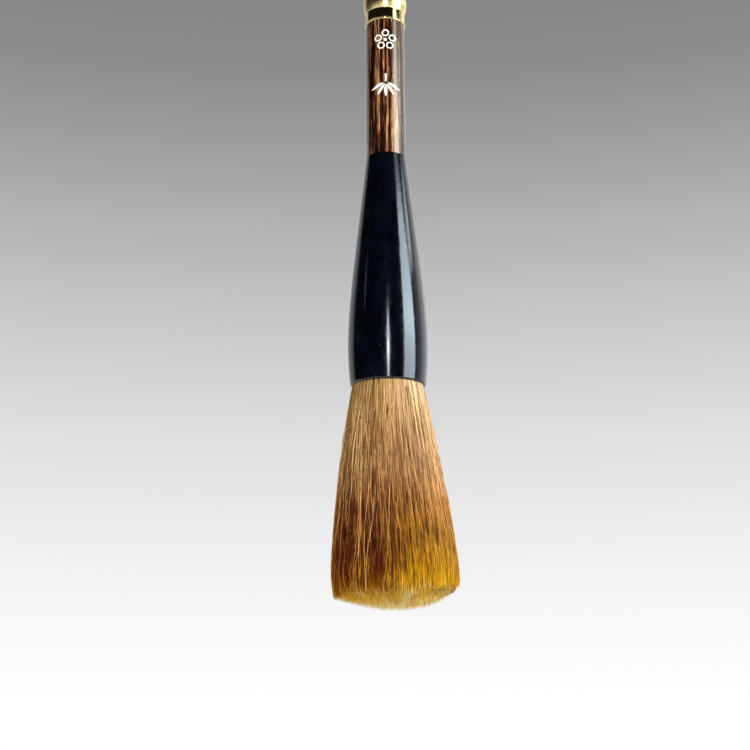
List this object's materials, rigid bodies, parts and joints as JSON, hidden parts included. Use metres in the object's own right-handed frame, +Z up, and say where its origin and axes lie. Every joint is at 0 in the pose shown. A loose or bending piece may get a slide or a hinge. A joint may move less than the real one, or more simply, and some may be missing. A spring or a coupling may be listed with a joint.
{
  "type": "calligraphy brush",
  "caption": "Large calligraphy brush that hangs by its cord hole: brass cap and collar, streaked wooden rod, black horn bell ferrule and a flaring hair tuft that bends.",
  "frame": {"origin": "centre of the cord hole's mouth, on top of the end cap, from which the whole brush hangs", "axes": "+Z up along the rod's axis, so the tuft points down; -Y is the front with the engraved ornament; +X is to the right seen from the front"},
  "size_m": [0.0362, 0.0362, 0.2064],
  "materials": {
    "brass": "turned and polished, clear lacquered",
    "dark_wood": "fine sanded, waxed to a semi-gloss, streaked dark brown, red-brown and tan along the rod",
    "white_filler": "white filler rubbed flush into the engraving",
    "black_horn": "turned and polished to a high gloss",
    "rosin": "poured and set",
    "sealing_lacquer": "brushed on and hardened",
    "thread": "twisted linen thread, glued",
    "core_hair": "dense straight hair, dark brown",
    "filler_hair": "dense straight hair, tan brown",
    "cover_hair": "fine straight hair, straw at the root, brown at the belly and golden at the tip"
  },
  "bodies": {
    "handle": {"end_cap": "brass", "collar_ring": "brass", "handle_rod": "dark_wood", "blossom_inlay": "white_filler", "sprig_inlay": "white_filler", "ferrule": "black_horn", "rosin_bed": "rosin", "root_seal": "sealing_lacquer", "binding_thread": "thread", "core_hair_root": "core_hair", "filler_hair_root": "filler_hair", "cover_hair_root": "cover_hair"},
    "tuft_belly": {"core_hair_belly": "core_hair", "filler_hair_belly": "filler_hair", "cover_hair_belly": "cover_hair"},
    "tuft_tip": {"core_hair_tip": "core_hair", "filler_hair_tip": "filler_hair", "cover_hair_tip": "cover_hair"}
  },
  "joints": [
    {"name": "tuft_sideways_bend", "type": "hinge", "parent": "handle", "child": "tuft_belly", "pos_m": [0, 0, -0.1549], "axis": [0, -1, 0], "range_deg": [-35, 35], "stiffness_Nm_per_rad": 0.05},
    {"name": "tuft_front_back_bend", "type": "hinge", "parent": "tuft_belly", "child": "tuft_tip", "pos_m": [0.00092, 0, -0.17888], "axis": [-1, 0, 0], "range_deg": [-35, 35], "stiffness_Nm_per_rad": 0.05}
  ]
}
